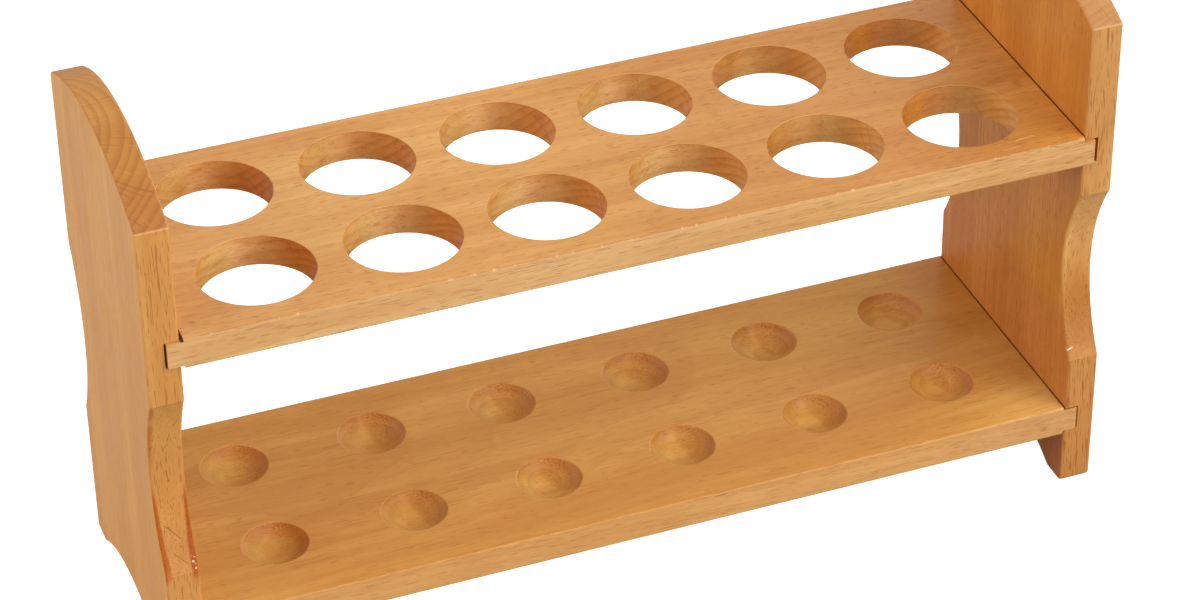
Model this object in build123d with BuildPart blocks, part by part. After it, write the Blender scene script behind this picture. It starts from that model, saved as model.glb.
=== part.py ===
from build123d import *
import os

os.makedirs("parts", exist_ok=True)

# Wooden rack for twelve large test tubes (two rows of six).
# A drilled shelf and a dimpled base board are housed in two shaped end panels
# and glued.  Millimetres, +Z up, X along the length, Y front (-) to back (+).
# Origin: on the bench, at the middle of the rack between its four feet.

# ---- overall ---------------------------------------------------------------
board_t = 8.7           # thickness of the shelf and the base board
panel_t = 8.9           # thickness of the end panels
panel_w = 78.8          # front to back
base_proud = 0.2        # each board stands proud of the panels, front and back
shelf_proud = 0.8
base_w = panel_w + 2 * base_proud
shelf_w = panel_w + 2 * shelf_proud
clear_len = 240.6       # between the inner faces of the end panels
inner = clear_len / 2   # X of the inner and outer faces of the panels
outer = inner + panel_t
half_w = panel_w / 2
LEFT, RIGHT = -1, 1     # sign of X at each end

# ---- heights ---------------------------------------------------------------
base_top = 25.0
shelf_above_base = 86.6  # top face to top face
shelf_top = base_top + shelf_above_base
crown_z = 153.0         # top of the domed end panel
dome_corner_z = 143.3   # where the dome meets the straight front and back edges

# ---- tube places -----------------------------------------------------------
cols, rows = 6, 2
pitch_x = 38.0
pitch_y = 37.0
hole_d = 30.0
hole_ease = 0.15        # broken edge of each hole, both sides
dimple_sphere_r = 11.0  # ball-nose seat for a round tube bottom
dimple_depth_front = 4.3
dimple_depth_back = 4.8
dimple_ease = 0.5       # softened rim of the seat
# Freehand drilling: (x, y) of each seat from its hole's axis, left to right
seat_off_front = [(0.3, 1.8), (0.0, 1.6), (-0.5, 1.5), (-0.5, 1.8), (-0.2, 1.9), (-0.5, 2.1)]
seat_off_back = [(-0.3, 0.3), (0.0, 0.4), (-1.0, 0.3), (-0.1, 0.4), (0.0, 0.5), (0.3, 0.7)]

# ---- end panel profile -----------------------------------------------------
waist_lo = 40.5         # the concave waist starts above the foot...
waist_hi = 93.0         # ...and ends below the shelf
waist_mid_z = (waist_lo + waist_hi) / 2
waist_in = 7.4          # how far it cuts in at its deepest
foot_r = 1.5            # outer corner of a foot
arch_half = 31.5        # half width of the arch between the feet
arch_h = 9.2
toe_r = 1.2             # inner corner of a foot
corner_soft = 0.8       # waist and dome corners
panel_ease = 0.8        # outline of the panel, both faces

# ---- housings (through dados) and the tongues that sit in them ---------------
groove_depth = 4.0
groove_h = 7.2
tongue_tip_gap = 0.5    # left at the bottom of the groove
tongue_len = groove_depth - tongue_tip_gap
tongue_h = 7.0
shelf_tongue_len_right = 2.8  # the shelf's right tongue is cut a little short
shelf_drop_right = 0.4        # and a little low
base_rise = 0.4         # both tongues of the base board are cut a little high
board_ease = 0.6        # long arrises of the two boards
shelf_gap_left = 0.8    # the boards' shoulders stand a little off the panels
shelf_gap_right = 0.3
base_gap = 0.3

# Middle height of each tongue and its housing
base_tongue_z = base_top - board_t / 2 + base_rise
shelf_tongue_z = shelf_top - board_t / 2
shelf_tongue_z_right = shelf_tongue_z - shelf_drop_right

# ---- glue ------------------------------------------------------------------
glue_t = (groove_h - tongue_h) / 2
glue_from_edge = 1.2    # the films stop short of the panels' front and back edges
glue_from_tip = 0.5     # and short of the tip of the tongue


def make_end_panel(side, housing_zs):
    """Domed, waisted panel with a housing in its inner face at each height."""
    with BuildPart() as panel:
        # profile: sketch X is the rack's Y, sketch Y is Z
        with BuildSketch(Plane.YZ.offset(min(side * inner, side * outer))):
            with BuildLine():
                ThreePointArc((-arch_half, 0), (0, arch_h), (arch_half, 0))
                Line((arch_half, 0), (half_w, 0))
                Line((half_w, 0), (half_w, waist_lo))
                ThreePointArc((half_w, waist_lo), (half_w - waist_in, waist_mid_z),
                              (half_w, waist_hi))
                Line((half_w, waist_hi), (half_w, dome_corner_z))
                ThreePointArc((half_w, dome_corner_z), (0, crown_z), (-half_w, dome_corner_z))
                Line((-half_w, dome_corner_z), (-half_w, waist_hi))
                ThreePointArc((-half_w, waist_hi), (-half_w + waist_in, waist_mid_z),
                              (-half_w, waist_lo))
                Line((-half_w, waist_lo), (-half_w, 0))
                Line((-half_w, 0), (-arch_half, 0))
            make_face()
        extrude(amount=panel_t)

        # corners of the profile: distance from the middle, heights, radius
        for corner_y, corner_zs, radius in (
            (half_w, (0,), foot_r),
            (arch_half, (0,), toe_r),
            (half_w, (waist_lo, waist_hi, dome_corner_z), corner_soft),
        ):
            corners = panel.edges().filter_by(Axis.X).filter_by(
                lambda e: abs(abs(e.center().Y) - corner_y) < 0.01
                and min(abs(e.center().Z - z) for z in corner_zs) < 0.01)
            fillet(corners, radius=radius)

        # both faces get a softened outline
        faces = panel.faces().sort_by(Axis.X)
        fillet(faces[0].edges() + faces[-1].edges(), radius=panel_ease)

        # through housings, cut after the rounding so their edges stay sharp
        groove_x = side * (inner + groove_depth / 2)
        with BuildSketch(Plane.XZ.offset(-half_w)):
            with Locations(*[(groove_x, z) for z in housing_zs]):
                Rectangle(groove_depth, groove_h)
        extrude(amount=panel_w, mode=Mode.SUBTRACT)
    return panel.part


def make_tube_shelf():
    """Shelf with a tongue at each end and a hole for each tube."""
    left_x = -inner + shelf_gap_left
    right_x = inner - shelf_gap_right
    with BuildPart() as shelf:
        with BuildSketch(Plane.XY.offset(shelf_top - board_t)):
            with Locations(((left_x + right_x) / 2, 0)):
                Rectangle(right_x - left_x, shelf_w)
        extrude(amount=board_t)
        fillet(shelf.edges().filter_by(Axis.X), radius=board_ease)

        # each tongue is a thinner slab reaching out from the middle of the rack
        for side, length, tongue_z in (
            (LEFT, tongue_len, shelf_tongue_z),
            (RIGHT, shelf_tongue_len_right, shelf_tongue_z_right),
        ):
            with BuildSketch(Plane.XY.offset(tongue_z - tongue_h / 2)):
                with Locations((side * (inner + length) / 2, 0)):
                    Rectangle(inner + length, shelf_w)
            extrude(amount=tongue_h)

        with Locations(Plane.XY.offset(shelf_top)):
            with GridLocations(pitch_x, pitch_y, cols, rows):
                Hole(radius=hole_d / 2)
        rims = shelf.edges().filter_by(GeomType.CIRCLE).filter_by(
            lambda e: abs(e.radius - hole_d / 2) < 0.01)
        chamfer(rims, length=hole_ease)
    return shelf.part


def make_base_shelf():
    """Base board with a tongue at each end and a spherical seat under each hole."""
    with BuildPart() as base:
        with BuildSketch(Plane.XY.offset(base_top - board_t)):
            Rectangle(2 * (inner - base_gap), base_w)
        extrude(amount=board_t)
        fillet(base.edges().filter_by(Axis.X), radius=board_ease)

        # one thinner slab forms both tongues
        with BuildSketch(Plane.XY.offset(base_tongue_z - tongue_h / 2)):
            Rectangle(2 * (inner + tongue_len), base_w)
        extrude(amount=tongue_h)

        for row_y, depth, offsets in (
            (-pitch_y / 2, dimple_depth_front, seat_off_front),
            (pitch_y / 2, dimple_depth_back, seat_off_back),
        ):
            sphere_z = base_top - depth + dimple_sphere_r
            with Locations(*[((i - (cols - 1) / 2) * pitch_x + off_x, row_y + off_y, sphere_z)
                             for i, (off_x, off_y) in enumerate(offsets)]):
                Sphere(radius=dimple_sphere_r, mode=Mode.SUBTRACT)
        rims = base.edges().filter_by(GeomType.CIRCLE).filter_by_position(
            Axis.Z, base_top - 0.05, base_top + 0.05)
        fillet(rims, radius=dimple_ease)
    return base.part


def make_glue(side, length, tongue_z):
    """Cured glue: a film above and a film below a tongue of the given length."""
    film_len = length - glue_from_tip
    with BuildPart() as glue:
        with BuildSketch(Plane.XY.offset(tongue_z + tongue_h / 2),
                         Plane.XY.offset(tongue_z - groove_h / 2)):
            with Locations((side * (inner + film_len / 2), 0)):
                Rectangle(film_len, panel_w - 2 * glue_from_edge)
        extrude(amount=glue_t)
    return glue.part


parts = {
    "left_end_panel": make_end_panel(LEFT, (base_tongue_z, shelf_tongue_z)),
    "right_end_panel": make_end_panel(RIGHT, (base_tongue_z, shelf_tongue_z_right)),
    "tube_shelf": make_tube_shelf(),
    "base_shelf": make_base_shelf(),
    "shelf_glue_left": make_glue(LEFT, tongue_len, shelf_tongue_z),
    "shelf_glue_right": make_glue(RIGHT, shelf_tongue_len_right, shelf_tongue_z_right),
    "base_glue_left": make_glue(LEFT, tongue_len, base_tongue_z),
    "base_glue_right": make_glue(RIGHT, tongue_len, base_tongue_z),
}
for name, part in parts.items():
    part.label = name
    export_step(part, f"parts/{name}.step")
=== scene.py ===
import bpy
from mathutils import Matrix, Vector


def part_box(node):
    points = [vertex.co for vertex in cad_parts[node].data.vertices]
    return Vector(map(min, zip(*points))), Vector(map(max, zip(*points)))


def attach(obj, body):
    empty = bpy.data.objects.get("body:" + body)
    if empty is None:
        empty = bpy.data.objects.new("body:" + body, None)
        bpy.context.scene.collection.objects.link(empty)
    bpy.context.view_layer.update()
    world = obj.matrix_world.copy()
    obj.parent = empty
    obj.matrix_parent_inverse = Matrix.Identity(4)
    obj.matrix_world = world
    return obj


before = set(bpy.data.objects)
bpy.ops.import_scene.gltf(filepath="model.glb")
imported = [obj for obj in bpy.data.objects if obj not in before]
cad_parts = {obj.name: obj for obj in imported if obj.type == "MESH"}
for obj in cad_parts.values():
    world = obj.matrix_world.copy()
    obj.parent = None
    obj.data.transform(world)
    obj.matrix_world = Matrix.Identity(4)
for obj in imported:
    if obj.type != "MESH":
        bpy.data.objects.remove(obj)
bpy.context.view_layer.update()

import math

import bpy
import bmesh
from mathutils import Quaternion, Vector

MM = 0.001                       # all lengths below are in millimetres unless noted
scene = bpy.context.scene


# ---------------------------------------------------------------------------
# Dimensions, read from the frame where it has them
# ---------------------------------------------------------------------------


def box_mm(node):
    low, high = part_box(node)
    return [v / MM for v in low], [v / MM for v in high]


panel_low, panel_high = box_mm("right_end_panel")
shelf_low, shelf_high = box_mm("tube_shelf")
base_low, base_high = box_mm("base_shelf")
X_OUT, X_IN = panel_high[0], panel_low[0]         # outer and inner face of the right panel
W_PANEL, W_SHELF = panel_high[1], shelf_high[1]   # half widths
Z_SHELF, Z_SHELF_LOW = shelf_high[2], shelf_low[2]
Z_BASE, Y_BASE_FRONT = base_high[2], base_low[1]
PITCH_Y = 37.0                                    # between the two rows of tubes

DOME_CORNER = 143.3                               # height where the dome meets the edges
WAIST_LOW, WAIST_HIGH = 40.5, 93.0                # ends of the concave arc of a panel's edge
WAIST_MIDDLE = (WAIST_LOW + WAIST_HIGH) / 2
WAIST_HALF_WIDTH = 32.0                           # at its narrowest
WAIST_RADIUS = 50.2593
WAIST_CENTRE_Y = WAIST_HALF_WIDTH + WAIST_RADIUS  # distance of the arc's centre from y = 0


# ---------------------------------------------------------------------------
# Arithmetic on shader nodes
# ---------------------------------------------------------------------------


class Value:
    """A float socket that can be used in arithmetic; every operation adds a node."""

    def __init__(self, graph, socket):
        self.graph = graph
        self.socket = socket

    def __add__(self, other): return self.op("ADD", other)
    def __radd__(self, other): return self.graph.math("ADD", other, self)
    def __sub__(self, other): return self.op("SUBTRACT", other)
    def __rsub__(self, other): return self.graph.math("SUBTRACT", other, self)
    def __mul__(self, other): return self.op("MULTIPLY", other)
    def __truediv__(self, number): return self * (1 / number)
    def __abs__(self): return self.op("ABSOLUTE")

    def op(self, operation, *others, clamp=False):
        return self.graph.math(operation, self, *others, clamp=clamp)

    def ramp(self, zero_at, one_at):
        """0 at zero_at and beyond, 1 at one_at and beyond, smooth between, in either direction."""
        falling = zero_at > one_at
        node = self.graph.node("ShaderNodeMapRange")
        node.interpolation_type = "SMOOTHSTEP"
        for name, value in (("Value", self),
                            ("From Min", min(zero_at, one_at)),
                            ("From Max", max(zero_at, one_at)),
                            ("To Min", 1.0 if falling else 0.0),
                            ("To Max", 0.0 if falling else 1.0)):
            self.graph.put(node.inputs[name], value)
        return Value(self.graph, node.outputs["Result"])


def hypot(a, b):
    return (a * a + b * b).op("SQRT")


def linear(red, green, blue):
    """sRGB 0-255 to linear."""
    channels = [v / 255.0 for v in (red, green, blue)]
    return tuple(v / 12.92 if v <= 0.04045 else ((v + 0.055) / 1.055) ** 2.4 for v in channels)


class Graph:
    """The node tree of a material or world, emptied and ready to build."""

    def __init__(self, owner):
        owner.use_nodes = True
        self.owner = owner
        self.tree = owner.node_tree
        self.tree.nodes.clear()

    def node(self, kind):
        count = len(self.tree.nodes)
        node = self.tree.nodes.new(kind)
        node.location = (180 * (count % 24), -220 * (count // 24))
        return node

    def put(self, socket, value):
        """Links a Value or an output to the socket, or sets the socket to a number or colour."""
        if isinstance(value, Value):
            self.tree.links.new(value.socket, socket)
        elif isinstance(value, bpy.types.NodeSocket):
            self.tree.links.new(value, socket)
        elif isinstance(value, tuple) and len(value) == 3 and socket.type == "RGBA":
            socket.default_value = (*value, 1.0)
        else:
            socket.default_value = value

    def math(self, operation, *operands, clamp=False):
        node = self.node("ShaderNodeMath")
        node.operation = operation
        node.use_clamp = clamp
        for i, operand in enumerate(operands):
            self.put(node.inputs[i], operand)
        return Value(self, node.outputs[0])

    def noise(self, x, y, z, detail=0.0, roughness=0.5):
        """Perlin noise, 0 to 1 around 0.5, in coordinates where a feature is about 1 across."""
        node = self.node("ShaderNodeTexNoise")
        node.noise_dimensions = "3D"
        combine = self.node("ShaderNodeCombineXYZ")
        for i, v in enumerate((x, y, z)):
            self.put(combine.inputs[i], v)
        self.put(node.inputs["Vector"], combine.outputs[0])
        node.inputs["Scale"].default_value = 1.0
        node.inputs["Detail"].default_value = detail
        node.inputs["Roughness"].default_value = roughness
        return Value(self, node.outputs[0])

    def separate(self, vector):
        node = self.node("ShaderNodeSeparateXYZ")
        self.put(node.inputs[0], vector)
        return [Value(self, node.outputs[i]) for i in range(3)]

    def coordinates(self):
        """Object coordinates in millimetres."""
        source = self.node("ShaderNodeTexCoord")
        return [v / MM for v in self.separate(source.outputs["Object"])]

    def normal(self):
        source = self.node("ShaderNodeNewGeometry")
        return self.separate(source.outputs["Normal"])

    def mix(self, factor, a, b, mode="MIX"):
        node = self.node("ShaderNodeMix")
        node.data_type = "RGBA"
        node.blend_type = mode
        node.clamp_factor = True
        for i, value in ((0, factor), (6, a), (7, b)):
            self.put(node.inputs[i], value)
        return node.outputs[2]

    def lacquered(self, colour, roughness, height, coat, bump_mm):
        """Ends a material as a bumpy surface under a thin clear coat, and returns it."""
        bump = self.node("ShaderNodeBump")
        bump.inputs["Strength"].default_value = 1.0
        bump.inputs["Distance"].default_value = bump_mm * MM
        self.put(bump.inputs["Height"], height)
        surface = self.node("ShaderNodeBsdfPrincipled")
        for name, value in (("Base Color", colour), ("Roughness", roughness), ("IOR", 1.47),
                            ("Specular IOR Level", 0.25), ("Coat Weight", coat),
                            ("Coat Roughness", 0.28), ("Coat IOR", 1.5),
                            ("Normal", bump.outputs[0])):
            self.put(surface.inputs[name], value)
        output = self.node("ShaderNodeOutputMaterial")
        self.put(output.inputs[0], surface.outputs[0])
        return self.owner


# ---------------------------------------------------------------------------
# Beech as a solid texture: growth rings about a pith, rays, fibres and pores
# ---------------------------------------------------------------------------

LIGHT, MID, DARK = linear(222, 165, 93), linear(211, 149, 77), linear(194, 128, 58)
FLECK = linear(162, 96, 40)
END_EARLY, END_LATE = linear(196, 130, 60), linear(166, 96, 38)   # end grain, across a ring
CHECK = linear(158, 84, 38)
PALE_WEAR_AND_HIGHLIGHT = linear(244, 200, 148)      # bare, worn wood, also used as painted highlight


def typical_radius(pith, grain):
    """Rough distance from the pith to the board, which turns angles into millimetres."""
    if grain == "X":
        offset = (max(abs(pith[0]) - 20.0, 0.0), 68.0 - pith[1])
    else:
        offset = (min(abs(abs(pith[0]) - X_OUT), 80.0), min(abs(pith[1]), 80.0) * 0.7)
    return max(12.0, math.hypot(*offset))


class Beech:
    """The grain is worked out in three dimensions from where the board was sawn out of the log,
    so that flat, quarter and end grain come out by themselves on every face and hole wall.

    grain is the axis the fibres follow, pith the log's centre in the other two axes, tilt the
    pith's drift per millimetre along the grain, and wave how far the grain wanders."""

    def __init__(self, name, grain, pith, ring_mm, tilt, wave, seed):
        self.graph = Graph(bpy.data.materials.new(name))
        noise = self.graph.noise
        x, y, z = self.place = self.graph.coordinates()
        self.facing = self.graph.normal()
        if grain == "X":
            along, across, through = x, y, z
            self.end_on = abs(self.facing[0])
        else:
            along, across, through = z, x, y
            self.end_on = abs(self.facing[2])

        # position from the pith, with a slow drift so that nothing is ruler straight
        drift_a = noise(along / 70 + seed, across / 45, through / 45 + 3.1, detail=1.0)
        drift_b = noise(along / 85 + 7.7, across / 40 + seed, through / 40, detail=1.0)
        log_a = across - pith[0] + along * tilt[0] + (drift_a - 0.5) * (7.0 * wave)
        log_b = through - pith[1] + along * tilt[1] + (drift_b - 0.5) * (7.0 * wave)
        radius = hypot(log_a, log_b)
        around = log_b.op("ARCTAN2", log_a) * typical_radius(pith, grain)

        # rings of uneven width: soft late wood, then a thin boundary line
        uneven = noise(radius / 7.5, seed + 0.5, 1.5, detail=1.0)
        ring = (radius / ring_mm + (uneven - 0.5) * 2.4).op("FRACT")
        self.late = ring.ramp(0.30, 0.93) * ring.ramp(1.0, 0.93)
        self.line = ring.ramp(0.86, 0.95) * ring.ramp(1.0, 0.96)

        # rays: dashes along the grain, and fine lines on end grain
        patch = noise(radius / 16, around / 11 + seed, along / 34, detail=1.0)
        density = (patch - 0.5) * 0.12
        short = noise(across / 0.28, through / 0.28 + seed, along / 3.8)
        long = noise(across / 0.36 + 5.0, through / 0.36, along / 6.0 + seed)
        self.rays = (short + density).ramp(0.69, 0.725).op(
            "MAXIMUM", (long + density).ramp(0.71, 0.75))
        self.hair = noise(across / 0.24 + 2.0, through / 0.24, along / 5.0 + seed, detail=1.0)
        self.checks = noise(radius / 16, around / 0.50, along / 5 + seed).ramp(0.68, 0.75)
        self.end_rays = noise(radius / 5, around / 0.35, along / 4 + seed, detail=1.0)

        # fibres, vessels and slow changes of tone
        self.fibre = noise(across / 0.42 + seed, through / 0.42, along / 26,
                           detail=2.0, roughness=0.6)
        self.streak = noise(log_a / 2.6, log_b / 2.6 + seed, along / 95,
                            detail=2.0, roughness=0.55)
        self.broad = noise(log_a / 13 + seed, log_b / 13, along / 150, detail=1.0)
        self.mottle = noise(across / 9, through / 9 + seed, along / 12, detail=1.5)
        self.pores = noise(across / 0.16, through / 0.16, along / 0.9 + seed)

    def paint(self, ring, lines, flecks, streaks, end_mix, broad=1.0, end_ring=0.55,
              end_where=None):
        """Sets colour, height and roughness. The arguments are the strengths of the features;
        end_where limits the end grain to a mask."""
        mix = self.graph.mix
        endness = self.end_on.ramp(0.25, 0.9)
        if end_where is not None:
            endness = endness * end_where
        face = 1.0 - endness
        tone = (0.5 + (self.streak - 0.5) * (1.5 * streaks) + (self.broad - 0.5) * (1.3 * broad)
                + (self.mottle - 0.5) * 0.35 + (self.fibre - 0.5) * (0.55 * streaks))
        colour = mix(tone.ramp(0.15, 0.95), DARK, LIGHT)
        colour = mix(0.45, colour, MID)
        colour = mix(self.late * ring, colour, DARK)
        colour = mix(self.line * lines, colour, DARK)
        # end grain soaks up more finish
        end = mix(self.late * end_ring, END_EARLY, END_LATE)
        end = mix(self.end_rays.ramp(0.58, 0.78) * 0.30, end, LIGHT)
        end = mix(self.pores.ramp(0.56, 0.74) * 0.22, end, FLECK)
        end = mix(self.line * 0.16, end, FLECK)
        end = mix(self.checks * 0.50, end, CHECK)
        colour = mix(endness * end_mix, colour, end)
        # ray flecks on the long faces
        colour = mix(self.rays * face * flecks, colour, FLECK)
        colour = mix(self.hair.ramp(0.60, 0.80) * face * (flecks * 0.38), colour, FLECK)
        self.colour = mix(self.hair.ramp(0.40, 0.22) * face * (flecks * 0.30), colour, LIGHT)
        self.height = ((self.fibre - 0.5) * 0.30 - self.rays * face * 0.5
                       - self.pores.ramp(0.55, 0.75) * 0.30 - self.line * 0.10
                       - self.checks * endness * 0.6)
        self.roughness = 0.40 + (self.mottle - 0.5) * 0.14 + self.rays * 0.12 + endness * 0.10

    def tint(self, mask, colour):
        """Covers the wood with colour where mask is 1."""
        self.colour = self.graph.mix(mask, self.colour, colour)

    def times(self, mask, factor):
        """Multiplies the colour by factor (linear R, G, B) where mask is 1."""
        self.colour = self.graph.mix(mask, self.colour, factor, "MULTIPLY")

    def scratch(self, u, v, start, end, width, wobble=None):
        """A mask: 1 on a straight scratch from start to end in the plane (u, v)."""
        du, dv = end[0] - start[0], end[1] - start[1]
        length_squared = du * du + dv * dv
        fraction = ((u - start[0]) * (du / length_squared)).op(
            "ADD", (v - start[1]) * (dv / length_squared), clamp=True)
        off_u = u - start[0] - fraction * du
        off_v = v - start[1] - fraction * dv
        if wobble is not None:
            off_v = off_v + wobble
        return hypot(off_u, off_v).ramp(width, width * 0.25)

    def material(self, bump_mm):
        return self.graph.lacquered(self.colour, self.roughness, self.height,
                                    coat=0.07, bump_mm=bump_mm)


# In the material functions below a mask is a product of ramps: over place (x, y, z, millimetres)
# and over the normal (nx, ny, nz). Each colour factor is explained by the comment above it.


def tube_shelf_material():
    wood = Beech("beech_tube_shelf", "X", pith=(-34.0, Z_SHELF - 62.0), ring_mm=2.6,
                 tilt=(0.012, -0.02), wave=0.8, seed=11.3)
    noise = wood.graph.noise
    x, y, z = wood.place
    nx, ny, nz = wood.facing
    top = nz.ramp(0.6, 0.95)
    front = ny.ramp(-0.5, -0.9)
    bore = (abs(nz).ramp(0.5, 0.2) * abs(y).ramp(W_SHELF - 0.9, W_SHELF - 1.3)
            * abs(x).ramp(X_IN - 4.0, X_IN - 6.0))
    lit = nx.ramp(-0.25, 0.75)                     # the half of a bore that faces right
    right_bore = bore * x.ramp(40.0, 75.0)         # the right-hand bores are cleaner
    wood.paint(ring=0.22 - right_bore * 0.09, lines=0.14 + bore * 0.05 - right_bore * 0.09,
               flecks=0.50, streaks=0.65, end_mix=0.55, end_ring=0.9)

    # top: cooler overall, darker about the middle, warmer at the front right
    wood.times(top, (0.99, 1.0, 1.05))
    wood.times(top * abs(x - 18.0).ramp(50.0, 12.0), (0.94, 0.93, 0.92))
    wood.times(top * x.ramp(100.0, 112.0) * y.ramp(-4.0, -20.0), (1.10, 1.12, 1.0))
    # brown veins on the right
    vein = noise(x / 38, y / 1.1 + x * 0.05, 2.0, detail=2.0, roughness=0.6)
    wood.times(top * x.ramp(50.0, 100.0) * vein.ramp(0.52, 0.68), (0.93, 0.84, 0.70))
    # paler to the left; darker to the right and yellower at the right end, painted shade and
    # bounce light from the right panel
    wood.times(top * x.ramp(40.0, -110.0), (1.04, 1.16, 1.42))
    wood.times(top * x.ramp(-10.0, 60.0), (0.92, 0.86, 0.82))
    wood.times(top * x.ramp(112.0, 120.0), (1.05, 0.98, 0.82))
    # darker at the back left and front right
    wood.times(top * x.ramp(-20.0, -66.0) * y.ramp(26.0, 37.0), (0.90, 0.82, 0.75))
    wood.times(top * x.ramp(70.0, 105.0) * y.ramp(-28.0, -36.0), (0.95, 0.90, 0.82))
    # front edge: palest, a little darker to the right
    wood.times(front, (1.10, 1.32, 1.90))
    wood.times(front * x.ramp(50.0, 20.0), (1.0, 1.03, 1.14))
    wood.times(front * x.ramp(50.0, 118.0), (0.96, 0.92, 0.90))

    # painted light and shade in the bores, which the end panels shadow: the left ones pale where
    # they face right and brown elsewhere, the right ones the other way about
    wood.times(bore * lit * x.ramp(80.0, 20.0), (1.12, 1.32, 1.35))
    wood.times(bore * lit * x.ramp(20.0, 80.0), (1.02, 0.92, 0.62))
    wood.times(bore * (1.0 - lit) * x.ramp(60.0, 10.0), (1.02, 0.91, 0.78))
    wood.times(bore * (1.0 - lit) * x.ramp(10.0, 60.0), (1.06, 1.10, 0.95))
    # painted shade on the back walls on the right
    wood.times(bore * x.ramp(10.0, 60.0) * ny.ramp(-0.25, -0.75), (0.88, 0.80, 0.72))
    # painted shade on the back right walls; back left walls painted dark up to the last column,
    # painted pale in it
    turn = ny.op("ARCTAN2", nx)                    # direction a wall faces, in radians
    wood.times(bore * abs(turn + 2.09).ramp(0.48, 0.16), (0.88, 0.82, 0.68))
    flank = bore * abs(turn + 0.88).ramp(0.62, 0.30)
    wood.times(flank * x.ramp(79.0, 76.0), (0.86, 0.78, 0.65))
    wood.times(flank * x.ramp(76.0, 79.0), (1.16, 1.25, 0.98))
    # painted light: paler right walls in the front row, paler back walls in the last column
    right_wall = nx.ramp(-0.1, -0.5)
    wood.times(right_bore * right_wall * y.ramp(2.0, -2.0), (1.05, 1.18, 1.35))
    wood.times(bore * x.ramp(76.0, 79.0) * abs(turn + 1.5).ramp(0.5, 0.2), (1.10, 1.03, 1.0))
    wood.times(bore * x.ramp(40.0, 78.0), (0.99, 0.93, 0.98))
    # smears of burnished finish, and clean wood between them
    smear = noise(turn * 3.4 + x / 19, z * 0.42 + turn * 0.9, y / 18.5,
                  detail=2.5, roughness=0.62)
    wood.times((bore - right_bore * 0.5) * smear.ramp(0.50, 0.74), (0.88, 0.74, 0.56))
    wood.times(bore * smear.ramp(0.44, 0.28), (1.06, 1.06, 1.04))
    # a dark line round the top of each bore
    rim = abs(z - Z_SHELF).ramp(0.55, 0.15) * bore
    wood.times(rim, (0.84, 0.72, 0.55))
    # cutter ripple
    ripple = noise(z * 2.6, turn * 1.1, x / 19, detail=1.0)
    wood.height = wood.height + bore * (ripple - 0.5) * 0.5

    # the shoulder gaps hold shadow and old finish
    gap = (abs(x).ramp(X_IN - 0.9, X_IN - 0.7) * abs(x).ramp(X_IN + 0.05, X_IN - 0.05)
           * z.ramp(Z_SHELF - 0.3, Z_SHELF - 0.6) * nz.ramp(0.6, 0.9))
    wood.times(gap, (0.22, 0.14, 0.12))
    # the top front arris is dark, with a painted highlight broken into pale chips
    chip = noise(x / 2.8, 3.0, 8.0, detail=2.0, roughness=0.7)
    patches = noise(x / 24.0, 5.0, 1.0, detail=1.0)
    arris = hypot(y - (-W_SHELF + 0.15), z - (Z_SHELF - 0.1)).ramp(0.60, 0.15)
    wood.times(arris, (0.86, 0.82, 0.78))
    wood.tint(arris * chip.ramp(0.54, 0.64) * patches.ramp(0.42, 0.58) * 0.65, PALE_WEAR_AND_HIGHLIGHT)
    # pale scuffs by the right front hole
    wobble = (chip - 0.5) * 0.8
    long_scuff = wood.scratch(x, y, (101.0, -34.9), (108.0, -34.1), width=0.55, wobble=wobble)
    wood.tint(long_scuff * wood.hair.ramp(0.3, 0.6) * 0.40, PALE_WEAR_AND_HIGHLIGHT)
    short_scuff = wood.scratch(x, y, (98.0, -37.8), (103.0, -37.4), width=0.30, wobble=wobble)
    wood.tint(short_scuff * 0.30, PALE_WEAR_AND_HIGHLIGHT)
    return wood.material(bump_mm=0.04)


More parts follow.
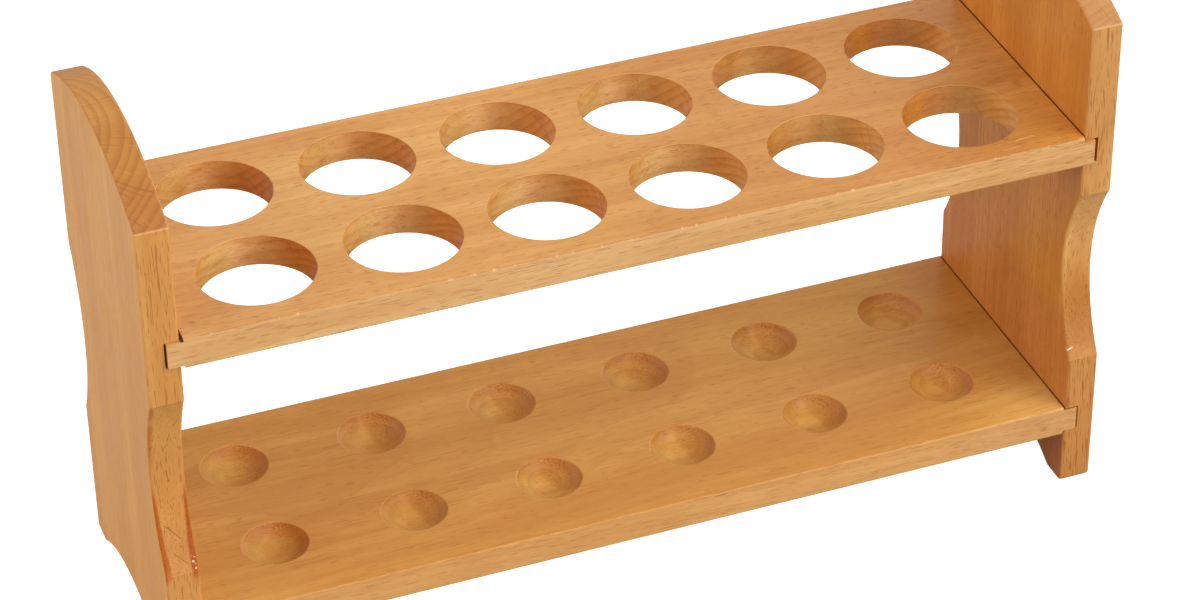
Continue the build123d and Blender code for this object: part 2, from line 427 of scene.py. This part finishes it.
def base_board_material():
    wood = Beech("beech_base_board", "X", pith=(12.0, Z_BASE - 95.0), ring_mm=2.2,
                 tilt=(-0.015, 0.035), wave=1.3, seed=4.7)
    noise = wood.graph.noise
    x, y, z = wood.place
    nx, ny, nz = wood.facing
    top = nz.ramp(0.6, 0.95)
    front = ny.ramp(-0.5, -0.9)
    # the dished seats: sloping, or below the top face
    seat = (nz.ramp(0.985, 0.93).op("MAXIMUM", z.ramp(Z_BASE - 0.4, Z_BASE - 0.9))
            * z.ramp(Z_BASE - 6.0, Z_BASE - 5.5) * nz.ramp(0.30, 0.45)
            * abs(y).ramp(PITCH_Y / 2 + 12.0, PITCH_Y / 2 + 11.0))
    shade = nx * 0.88 + ny * 0.30                  # across a seat, from its dark to its lit side
    wood.paint(ring=seat.op("MULTIPLY_ADD", 0.14, 0.22),
               lines=seat.op("MULTIPLY_ADD", 0.14, 0.10),
               flecks=top.op("MULTIPLY_ADD", -0.10, 0.44),
               streaks=0.42, broad=1.1, end_mix=0.35, end_where=nx.ramp(-0.1, -0.5))

    # top: yellower overall, paler at the left end
    wood.times(top, (0.98, 0.98, 0.80))
    wood.times(top * x.ramp(-85.0, -112.0), (1.01, 1.09, 1.14))
    # right end: redder at the back, painted shade of the right panel; paler at the front
    wood.times(top * x.ramp(96.0, 116.0) * y.ramp(0.0, 16.0), (0.95, 0.80, 0.85))
    wood.times(top * x.ramp(94.0, 112.0) * y.ramp(8.0, -6.0), (1.10, 1.18, 1.38))
    # darker back left, much paler front right
    wood.times(top * x.ramp(-20.0, -60.0) * y.ramp(28.0, 37.0), (0.93, 0.90, 0.85))
    wood.times(top * x.ramp(70.0, 110.0) * y.ramp(-22.0, -34.0), (1.16, 1.32, 1.50))
    # between the seats, yellower towards the back right
    flat = top * (1.0 - seat)
    wood.times(flat * x.ramp(10.0, 60.0) * y.ramp(-4.0, 6.0), (0.99, 1.0, 0.90))
    wood.times(flat * x.ramp(60.0, 105.0) * y.ramp(2.0, 26.0), (0.98, 1.03, 0.84))
    # front edge: paler
    wood.times(front * (1.0 - seat), (1.02, 1.10, 1.36))

    # seats: a brown side of painted shade, turned from the light, placed differently in every seat
    speck = noise(x * 1.9, y * 1.9, z * 1.9, detail=2.0, roughness=0.7)
    drift = noise(x / 21, y / 17, 4.0, detail=1.0)
    painted_shade_start = -0.14 + (drift - 0.5) * 0.55
    side = shade - painted_shade_start + (speck - 0.5) * 0.22    # below 0 on the brown side, the painted shade
    # golden floor, and painted light on the slopes facing right and back
    wood.times(seat, (1.02, 1.07, 1.06))
    wood.times(seat * nz.ramp(0.90, 0.97), (1.07, 1.10, 1.17))
    wood.times(seat * nx.ramp(0.15, 0.5), (1.05, 1.14, 1.10))
    wood.times(seat * ny.ramp(0.15, 0.5), (1.05, 1.08, 1.06))
    # painted shade on the brown side, its depth and its speckled edge
    wood.times(seat * side.ramp(0.03, -0.05), (0.93, 0.86, 0.80))
    wood.times(seat * side.ramp(-0.30, -0.70), (0.96, 0.90, 0.90))
    wood.times(seat * side.ramp(0.0, -0.15) * speck.ramp(0.52, 0.66), (0.80, 0.68, 0.56))
    # painted shade on the slopes facing right and forward, and facing left in the middle and right
    # seats
    wood.times(seat * (nx * 0.85 - ny * 0.5).ramp(0.30, 0.58), (0.82, 0.76, 0.72))
    wood.times(seat * nx.ramp(-0.38, -0.66) * x.ramp(-40.0, 20.0), (0.91, 0.81, 0.74))
    # left seats: less painted shade low on the brown side, and painted light on the slopes facing
    # forward
    wood.times(seat * nz.ramp(0.80, 0.90) * side.ramp(0.03, -0.05) * x.ramp(-74.0, -78.0),
               (1.10, 1.24, 1.48))
    wood.times(seat * nz.ramp(0.80, 0.90) * ny.ramp(-0.10, -0.36) * x.ramp(0.0, -40.0),
               (1.04, 1.12, 1.30))
    # painted shade on the steep slopes facing right, and on their upper rims
    wood.times(seat * (nx * 0.85 - ny * 0.3).ramp(0.52, 0.70), (0.93, 0.88, 0.72))
    wood.times(z.ramp(Z_BASE - 0.9, Z_BASE - 0.35) * seat * nx.ramp(0.05, 0.25),
               (0.92, 0.88, 0.82))
    # a dark lip at the back
    lip = z.ramp(Z_BASE - 2.4, Z_BASE - 0.5) * ny.ramp(-0.25, -0.55) * speck.ramp(0.30, 0.55)
    wood.times(seat * lip, (0.88, 0.76, 0.60))
    # paler right-hand seats, and the back left one
    wood.times(seat * x.ramp(60.0, 85.0), (1.08, 1.10, 1.20))
    wood.times(seat * x.ramp(-74.0, -78.0) * y.ramp(-2.0, 2.0), (1.06, 1.12, 1.13))

    # shadow in the gaps beside the end panels
    gap = (abs(x).ramp(X_IN - 0.45, X_IN - 0.25) * z.ramp(Z_BASE - 0.2, Z_BASE - 0.4)
           * nz.ramp(0.6, 0.9))
    wood.times(gap, (0.30, 0.18, 0.12))
    # the top front arris, dark in patches and paler to the right
    chip = noise(x / 9.0, 1.0, 2.0, detail=2.0, roughness=0.7)
    arris = hypot(y - (Y_BASE_FRONT + 0.15), z - (Z_BASE - 0.1)).ramp(0.60, 0.15)
    wood.times(arris * chip.ramp(0.62, 0.40), (0.92, 0.88, 0.84))
    wood.times(arris * x.ramp(60.0, 85.0), (1.03, 1.12, 1.30))
    wood.times(front * x.ramp(80.0, 105.0), (1.0, 1.02, 1.15))
    # a pin knot in the front edge
    knot = hypot((x - 114.3) * 0.8, (z - 19.7) * 1.4)
    wood.times((knot + (speck - 0.5) * 0.8).ramp(1.3, 0.2) * front * 0.8, (0.62, 0.60, 0.42))
    return wood.material(bump_mm=0.035)


def panel_wood(name, pith, ring_mm, seed, face_flecks, **strengths):
    """The beech of an end panel; face_flecks is the strength of the flecks on its wide faces."""
    wood = Beech(name, "Z", pith, ring_mm, tilt=(0.01, 0.004), wave=0.7, seed=seed)
    _, y, z = wood.place
    edge_flecks = 0.68
    wide_face = abs(wood.facing[0]).ramp(0.6, 0.95)
    flecks = wide_face.op("MULTIPLY_ADD", face_flecks - edge_flecks, edge_flecks)
    wood.paint(flecks=flecks, **strengths)
    # a painted highlight where the dome meets the edges
    for side in (-1, 1):
        corner = hypot(y - side * W_PANEL, z - DOME_CORNER).ramp(0.5, 0.10)
        wood.tint(corner * 0.18, PALE_WEAR_AND_HIGHLIGHT)
    return wood


def left_panel_material():
    wood = panel_wood("beech_left_panel", pith=(-X_OUT - 30.0, 2.0), ring_mm=2.6, seed=21.9,
                      face_flecks=0.12, ring=0.18, lines=0.10, streaks=0.5, end_mix=0.85,
                      end_ring=0.62)
    noise = wood.graph.noise
    x, y, z = wood.place
    nx, ny, nz = wood.facing
    front = ny.ramp(-0.35, -0.7)
    # outer face: brighter
    wood.times((nx * -1.0).ramp(0.6, 0.95), (1.12, 1.10, 0.93))
    # dome: bright crown, darker above the corners, darkest to the front
    wood.times(nz.ramp(0.5, 0.8) * z.ramp(146.0, 151.0), (1.08, 1.16, 1.05))
    wood.times(nz.ramp(0.5, 0.8) * z.ramp(140.0, 143.0), (0.88, 0.88, 0.96))
    wood.times(nz.ramp(0.5, 0.8) * z.ramp(142.0, 143.0) * y.ramp(-1.0, -8.0),
               (0.88, 0.83, 0.83))
    # front edge: darker low down, paler in the top of the waist
    wood.times(front * z.ramp(75.0, 60.0), (0.97, 0.93, 0.91))
    wood.times(front * z.ramp(56.0, 46.0) * z.ramp(40.1, 41.0), (0.92, 0.91, 0.88))
    wood.times(front * z.ramp(70.0, 80.0) * z.ramp(93.0, 92.0), (1.08, 1.15, 1.12))

    # finish pooled and scorched along the arrises of the waist, in ragged bands that widen down
    burn = (0.78, 0.42, 0.06)
    blotch = noise(x * 0.5, y * 0.2, z * 0.12, detail=2.0, roughness=0.6)
    ragged = (blotch - 0.5) * 0.9
    inner_width = ((66.0 - z) / 24).op("ADD", 0.0, clamp=True) * 1.45 + 0.12
    outer_width = ((68.0 - z) / 26).op("ADD", 0.0, clamp=True) * 1.15 + 0.15
    inner_off = abs(x - (-X_IN - 0.35)) - inner_width
    inner_band = (inner_off + ragged * 0.5).ramp(0.35, -0.35) * front
    outer_off = abs(x - (-X_OUT + 0.35)) - outer_width
    outer_band = (outer_off + ragged * 0.4).ramp(0.35, -0.35) * front
    upper_outer = abs(x - (-X_OUT + 0.5)).ramp(1.1, 0.3) * front
    wood.times(upper_outer * z.ramp(93.5, 91.0) * z.ramp(66.0, 78.0) * blotch.ramp(0.30, 0.60)
               * 0.75, burn)
    wood.times(outer_band * z.ramp(66.0, 58.0) * z.ramp(37.0, 42.5), burn)
    wood.times(inner_band * z.ramp(66.0, 58.0) * z.ramp(36.0, 41.5), (0.72, 0.36, 0.05))

    # brown scratches on the front edge: start (x, z), end (x, z), width, strength
    scratches = (
        ((-126.9, 52.5), (-123.6, 48.6), 0.24, 0.55),
        ((-126.0, 45.5), (-122.8, 42.4), 0.22, 0.5),
        ((-122.9, 82.7), (-121.2, 85.9), 0.20, 0.45),
        ((-124.4, 77.2), (-123.6, 80.0), 0.22, 0.5),
        ((-124.9, 71.0), (-124.5, 74.0), 0.20, 0.4),
        ((-124.6, 64.5), (-125.0, 68.0), 0.24, 0.55),
    )
    wobble = (noise(x * 0.9, 2.0, z * 0.9, detail=1.0) - 0.5) * 0.3
    for start, end, width, strength in scratches:
        mark = wood.scratch(x, z, start, end, width, wobble) * front
        wood.tint(mark * strength, linear(128, 66, 20))
        wood.height = wood.height - mark * 1.2
    return wood.material(bump_mm=0.04)


def right_panel_material():
    wood = panel_wood("beech_right_panel", pith=(X_OUT + 10.0, -70.0), ring_mm=1.9, seed=35.2,
                      face_flecks=0.42, ring=0.26, lines=0.16, streaks=0.75, end_mix=0.7,
                      end_ring=0.35)
    x, y, z = wood.place
    nx, ny, nz = wood.facing
    front = ny.ramp(-0.35, -0.7)
    inner = nx.ramp(-0.6, -0.95)
    # inner face: yellower, partly the wood and partly painted bounce light off the boards; darker
    # above the shelf, painted shade
    wood.times(inner, (0.97, 0.82, 0.55))
    wood.times(inner * z.ramp(Z_SHELF - 5.0, Z_SHELF), (0.95, 0.90, 0.79))
    # mid height: darker at the back, paler at the front; bluer low down
    wood.times(inner * z.ramp(52.0, 60.0) * z.ramp(108.0, 100.0) * y.ramp(4.0, 22.0),
               (0.93, 0.98, 0.80))
    wood.times(inner * z.ramp(48.0, 58.0) * z.ramp(104.0, 92.0) * y.ramp(12.0, 0.0),
               (1.07, 1.12, 1.0))
    wood.times(inner * z.ramp(60.0, 40.0), (1.0, 0.95, 1.18))
    # dome: cooler
    wood.times(nz.ramp(0.5, 0.8) * z.ramp(140.0, 143.0), (0.90, 1.0, 1.5))
    # front edge: paler in and above the top of the waist, browner below
    wood.times(front * z.ramp(93.0, 90.0) * z.ramp(62.0, 72.0), (1.10, 1.18, 1.35))
    wood.times(front * z.ramp(88.0, 98.0), (1.0, 1.05, 1.22))
    wood.times(front * z.ramp(68.0, 56.0), (0.86, 0.78, 0.70))
    wood.times(front * z.ramp(66.0, 56.0) * z.ramp(40.0, 46.0), (0.92, 0.86, 0.68))
    # foot: painted shade on the underside and on the lower inner face
    wood.times(nz.ramp(-0.4, -0.7) * z.ramp(14.0, 11.0), (0.80, 0.55, 0.55))
    wood.times(inner * z.ramp(17.0, 14.0), (0.84, 0.72, 0.72))
    # old finish and shadow in the corners above the two boards
    for board_top, factor in ((Z_SHELF, (0.36, 0.20, 0.14)), (Z_BASE, (0.45, 0.28, 0.20))):
        wood.times(inner * z.ramp(board_top - 1.2, board_top - 0.9)
                   * z.ramp(board_top + 0.34, board_top + 0.16), factor)
    # a pale nick and a yellow spot at the foot of the waist
    nick = wood.scratch(x, z, (120.6, 43.1), (122.0, 43.5), width=0.28)
    wood.tint(nick * front * 0.8, linear(250, 226, 190))
    spot = hypot(x - 121.6, z - 40.3).ramp(0.9, 0.3)
    wood.tint(spot * front * 0.5, linear(188, 132, 40))
    return wood.material(bump_mm=0.04)


def glue_material(name, frequency, detail, light, dark, roughness, coat):
    """Blotchy glue; frequency is in blotches per millimetre."""
    graph = Graph(bpy.data.materials.new(name))
    x, y, z = graph.coordinates()
    blotch = graph.noise(x * frequency, y * frequency, z * frequency, detail=detail)
    colour = graph.mix(blotch.ramp(0.3, 0.7), light, dark)
    return graph.lacquered(colour, roughness + blotch * 0.2, blotch, coat=coat, bump_mm=0.03)


shelf_wood = tube_shelf_material()
base_wood = base_board_material()
left_wood = left_panel_material()
right_wood = right_panel_material()
joint_glue = glue_material("cured_glue", frequency=0.6, detail=3.0, light=linear(226, 196, 140),
                           dark=linear(206, 168, 104), roughness=0.3, coat=0.3)

for node_name, material in (("tube_shelf", shelf_wood), ("base_shelf", base_wood),
                            ("left_end_panel", left_wood), ("right_end_panel", right_wood),
                            ("shelf_glue_left", joint_glue), ("shelf_glue_right", joint_glue),
                            ("base_glue_left", joint_glue), ("base_glue_right", joint_glue)):
    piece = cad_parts[node_name]
    if not piece.material_slots:
        piece.data.materials.append(material)
    for slot in piece.material_slots:
        slot.material = material


# ---------------------------------------------------------------------------
# Small things on the left panel: squeezed-out glue, and torn fibres under the shelf's tongue
# ---------------------------------------------------------------------------


def link_mesh(name, bm):
    mesh = bpy.data.meshes.new(name)
    bm.to_mesh(mesh)
    bm.free()
    obj = bpy.data.objects.new(name, mesh)
    scene.collection.objects.link(obj)
    return obj


def add_detail(name, bm, material):
    bm.normal_update()
    obj = link_mesh(name, bm)
    for polygon in obj.data.polygons:
        polygon.use_smooth = True
    obj.data.materials.append(material)
    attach(obj, "root")


def waist_y(z):
    """The front face of the panel between the ends of the waist."""
    return -WAIST_CENTRE_Y + math.sqrt(WAIST_RADIUS ** 2 - (z - WAIST_MIDDLE) ** 2)


def add_bead(bm, centre, radii, seed):
    """A dried bead: a lumpy ellipsoid."""
    for vertex in bmesh.ops.create_icosphere(bm, subdivisions=3, radius=1.0)["verts"]:
        d = vertex.co.normalized()
        lump = (1.0 + 0.16 * math.sin(3.1 * d.x + seed) * math.cos(2.7 * d.z - seed)
                + 0.10 * math.sin(6.3 * d.y + 2 * seed + 4.1 * d.z))
        vertex.co = Vector([(centre[i] + d[i] * radii[i] * lump) * MM for i in range(3)])


def add_glue_beads():
    # x, z, depth behind the face, semi-axes (x, y, z)
    beads = (
        (-121.55, 42.75, 0.02, (0.34, 0.18, 0.42)),
        (-121.15, 43.75, 0.10, (0.42, 0.15, 0.14)),
        (-120.80, 43.35, 0.30, (0.14, 0.16, 0.36)),
        (-121.10, 42.15, 0.10, (0.22, 0.15, 0.20)),
        (-121.15, 41.20, 0.06, (0.30, 0.17, 0.32)),
        (-121.60, 44.1, 0.04, (0.12, 0.09, 0.10)),
        (-120.95, 40.55, 0.12, (0.16, 0.12, 0.14)),
    )
    material = glue_material("dried_glue_beads", frequency=3.0, detail=2.0,
                             light=linear(246, 222, 196), dark=linear(224, 184, 142),
                             roughness=0.35, coat=0.2)
    bm = bmesh.new()
    for i, (x, z, depth, radii) in enumerate(beads):
        y = waist_y(max(z, WAIST_LOW + 0.2)) + depth
        add_bead(bm, (x, y, z), radii, seed=1.7 * i)
    add_detail("glue_beads_left_waist", bm, material)


def add_torn_fibres():
    """Slivers standing off the front face: wide at the root, torn to a point below."""
    # x, width, drop, how far it stands out
    slivers = (
        (-124.0, 0.34, 0.55, 0.10), (-123.5, 0.22, 0.35, 0.16), (-123.1, 0.30, 0.75, 0.08),
        (-122.5, 0.20, 0.30, 0.14), (-122.1, 0.26, 0.45, 0.12), (-121.5, 0.18, 0.28, 0.10),
    )
    groove_low = (Z_SHELF_LOW + Z_SHELF) / 2 - 3.6
    root_z = groove_low + 0.02
    sunk_y = -W_PANEL + 0.05
    bm = bmesh.new()
    for i, (x, width, drop, out) in enumerate(slivers):
        root_y = -W_PANEL - out * 0.5
        left, right = x - width / 2, x + width / 2
        points = (
            (left, sunk_y, root_z), (right, sunk_y, root_z),
            (right, root_y, root_z), (left, root_y, root_z),
            (x + width * (0.2 - 0.07 * i), sunk_y, groove_low - drop),
            (x + width * (0.26 - 0.07 * i), -W_PANEL - out, groove_low - drop * 0.8),
        )
        vertices = [bm.verts.new([v * MM for v in point]) for point in points]
        for corners in ((0, 1, 2, 3), (3, 2, 5), (0, 3, 5, 4), (2, 1, 4, 5), (1, 0, 4)):
            bm.faces.new([vertices[k] for k in corners])
    bmesh.ops.recalc_face_normals(bm, faces=bm.faces[:])
    add_detail("torn_fibres_left_tongue", bm, left_wood)


add_glue_beads()
add_torn_fibres()


# ---------------------------------------------------------------------------
# Floor, light and camera (metres)
# ---------------------------------------------------------------------------


def add_floor():
    bm = bmesh.new()
    bmesh.ops.create_grid(bm, x_segments=8, y_segments=8, size=6.0)
    floor = link_mesh("studio_floor", bm)
    floor.location = (0, 0, -0.0002)
    # a grey diffuse floor that also glows, most of all to the camera
    graph = Graph(bpy.data.materials.new("pale_floor"))
    diffuse = graph.node("ShaderNodeBsdfDiffuse")
    diffuse.inputs["Color"].default_value = (0.35, 0.35, 0.35, 1)
    glow = graph.node("ShaderNodeEmission")
    glow.inputs["Color"].default_value = (1, 1, 1, 1)
    camera_ray = Value(graph, graph.node("ShaderNodeLightPath").outputs["Is Camera Ray"])
    graph.put(glow.inputs["Strength"], camera_ray * 0.9 + 0.15)
    both = graph.node("ShaderNodeAddShader")
    output = graph.node("ShaderNodeOutputMaterial")
    graph.put(both.inputs[0], diffuse.outputs[0])
    graph.put(both.inputs[1], glow.outputs[0])
    graph.put(output.inputs[0], both.outputs[0])
    floor.data.materials.append(graph.owner)


def add_light_tent():
    """Broad soft panels all around, each fading as a power of the cosine from its centre."""
    falloff, gain = 8.0, 0.85
    # azimuth (0 front, 90 right end) and elevation in degrees, strength
    panels = (
        (0, 12, 1.10), (45, 12, 2.95), (90, 12, 1.50), (135, 12, 1.82), (180, 12, 0.32),
        (225, 12, 0.92), (270, 12, 1.73), (45, 45, 3.33), (135, 45, 0.36), (270, 45, 2.66),
    )
    scene.world = bpy.data.worlds.new("studio")
    graph = Graph(scene.world)
    direction = graph.node("ShaderNodeTexCoord").outputs["Generated"]
    total = None
    for azimuth, elevation, strength in panels:
        a, e = math.radians(azimuth), math.radians(elevation)
        dot = graph.node("ShaderNodeVectorMath")
        dot.operation = "DOT_PRODUCT"
        dot.inputs[1].default_value = (math.sin(a) * math.cos(e), -math.cos(a) * math.cos(e),
                                       math.sin(e))
        graph.put(dot.inputs[0], direction)
        cosine = Value(graph, dot.outputs["Value"]).op("MAXIMUM", 0.0)
        light = cosine.op("POWER", falloff) * (gain * strength)
        total = light if total is None else total + light
    background = graph.node("ShaderNodeBackground")
    background.inputs["Color"].default_value = (1, 1, 1, 1)
    graph.put(background.inputs["Strength"], total)
    output = graph.node("ShaderNodeOutputWorld")
    graph.put(output.inputs[0], background.outputs[0])


def add_camera():
    """Looks down from the front left through a long lens."""
    lens = bpy.data.cameras.new("camera")
    camera = bpy.data.objects.new("camera", lens)
    scene.collection.objects.link(camera)
    camera.location = (-0.2870639813, -0.7718389014, 0.6403360003)
    camera.rotation_mode = "QUATERNION"
    camera.rotation_quaternion = Quaternion(
        (0.8709034747, 0.4575232030, -0.0773660432, -0.1619078496))
    lens.sensor_fit = "HORIZONTAL"
    lens.sensor_width = 36.0
    lens.lens = 114.8251682
    lens.shift_x = 0.0178142776
    lens.shift_y = -0.0100547825
    lens.clip_start = 0.01
    lens.clip_end = 50.0
    scene.camera = camera


add_floor()
add_light_tent()
add_camera()

scene.view_settings.view_transform = "Standard"
scene.view_settings.look = "None"
scene.view_settings.exposure = 0.0
scene.view_settings.gamma = 1.0
